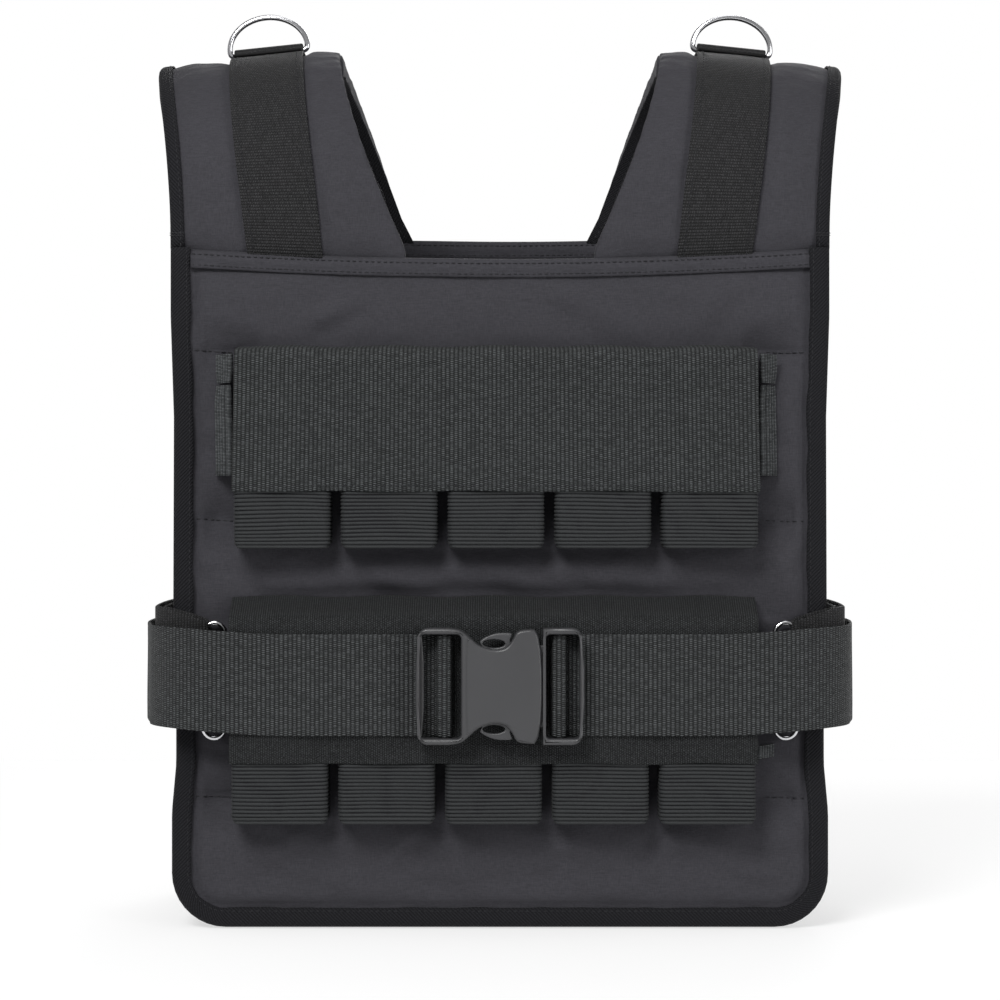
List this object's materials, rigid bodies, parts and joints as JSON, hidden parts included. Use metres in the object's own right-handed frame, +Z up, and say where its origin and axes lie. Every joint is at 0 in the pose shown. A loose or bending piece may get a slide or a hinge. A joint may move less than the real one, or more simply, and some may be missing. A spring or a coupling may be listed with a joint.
{
  "type": "weighted vest",
  "caption": "Padded weighted vest with rows of weight pockets under flaps, a waist belt with a side-release buckle, shoulder webbing with D-rings, and open neck and sides.",
  "frame": {"origin": "on the ground under the middle of the vest's box", "axes": "+Z up, -Y out of the front with the weight pockets, +X to the right as seen from the front"},
  "size_m": [0.3676, 0.214, 0.47],
  "materials": {
    "padding": "matt woven nylon over foam",
    "tape": "twill binding tape",
    "webbing": "ribbed polyester webbing",
    "flap_cloth": "smooth coated cloth",
    "elastic": "ribbed elastic",
    "plastic": "moulded acetal, satin",
    "steel": "polished plating",
    "iron": "painted matt"
  },
  "bodies": {
    "vest": {"front_panel": "padding", "back_panel": "padding", "chest_hem": "padding", "back_hem": "padding", "shoulder_pad_left": "padding", "shoulder_pad_right": "padding", "front_binding": "tape", "back_binding": "tape", "shoulder_binding_left": "tape", "shoulder_binding_right": "tape", "neck_facing_left": "tape", "neck_facing_right": "tape", "shoulder_webbing_left": "webbing", "shoulder_webbing_right": "webbing", "ring_loop_left": "webbing", "ring_loop_right": "webbing", "upper_flap": "webbing", "belt_left": "webbing", "belt_right": "webbing", "side_strap_left": "webbing", "side_strap_right": "webbing", "ring_tab_left": "webbing", "ring_tab_right": "webbing", "lower_flap": "flap_cloth", "side_ring_left": "steel", "side_ring_right": "steel", "upper_pocket_1": "elastic", "upper_pocket_2": "elastic", "upper_pocket_3": "elastic", "upper_pocket_4": "elastic", "upper_pocket_5": "elastic", "lower_pocket_1": "elastic", "lower_pocket_2": "elastic", "lower_pocket_3": "elastic", "lower_pocket_4": "elastic", "lower_pocket_5": "elastic", "upper_elastic_left_high": "elastic", "upper_elastic_left_low": "elastic", "upper_elastic_right_high": "elastic", "upper_elastic_right_low": "elastic", "lower_elastic_right": "elastic", "upper_weight_1": "iron", "upper_weight_2": "iron", "upper_weight_3": "iron", "upper_weight_4": "iron", "upper_weight_5": "iron", "lower_weight_1": "iron", "lower_weight_2": "iron", "lower_weight_3": "iron", "lower_weight_4": "iron", "lower_weight_5": "iron", "buckle_socket": "plastic", "buckle_plug": "plastic"},
    "left_ring": {"d_ring_left": "steel"},
    "right_ring": {"d_ring_right": "steel"}
  },
  "joints": [
    {"name": "d_ring_left_turn", "type": "hinge", "parent": "vest", "child": "left_ring", "pos_m": [-0.12179, 0.0161, 0.44971], "axis": [0.9946, 0, 0.1038], "range_deg": [-80, 80]},
    {"name": "d_ring_right_turn", "type": "hinge", "parent": "vest", "child": "right_ring", "pos_m": [0.12179, 0.0161, 0.44971], "axis": [0.9946, 0, -0.1038], "range_deg": [-80, 80]}
  ]
}
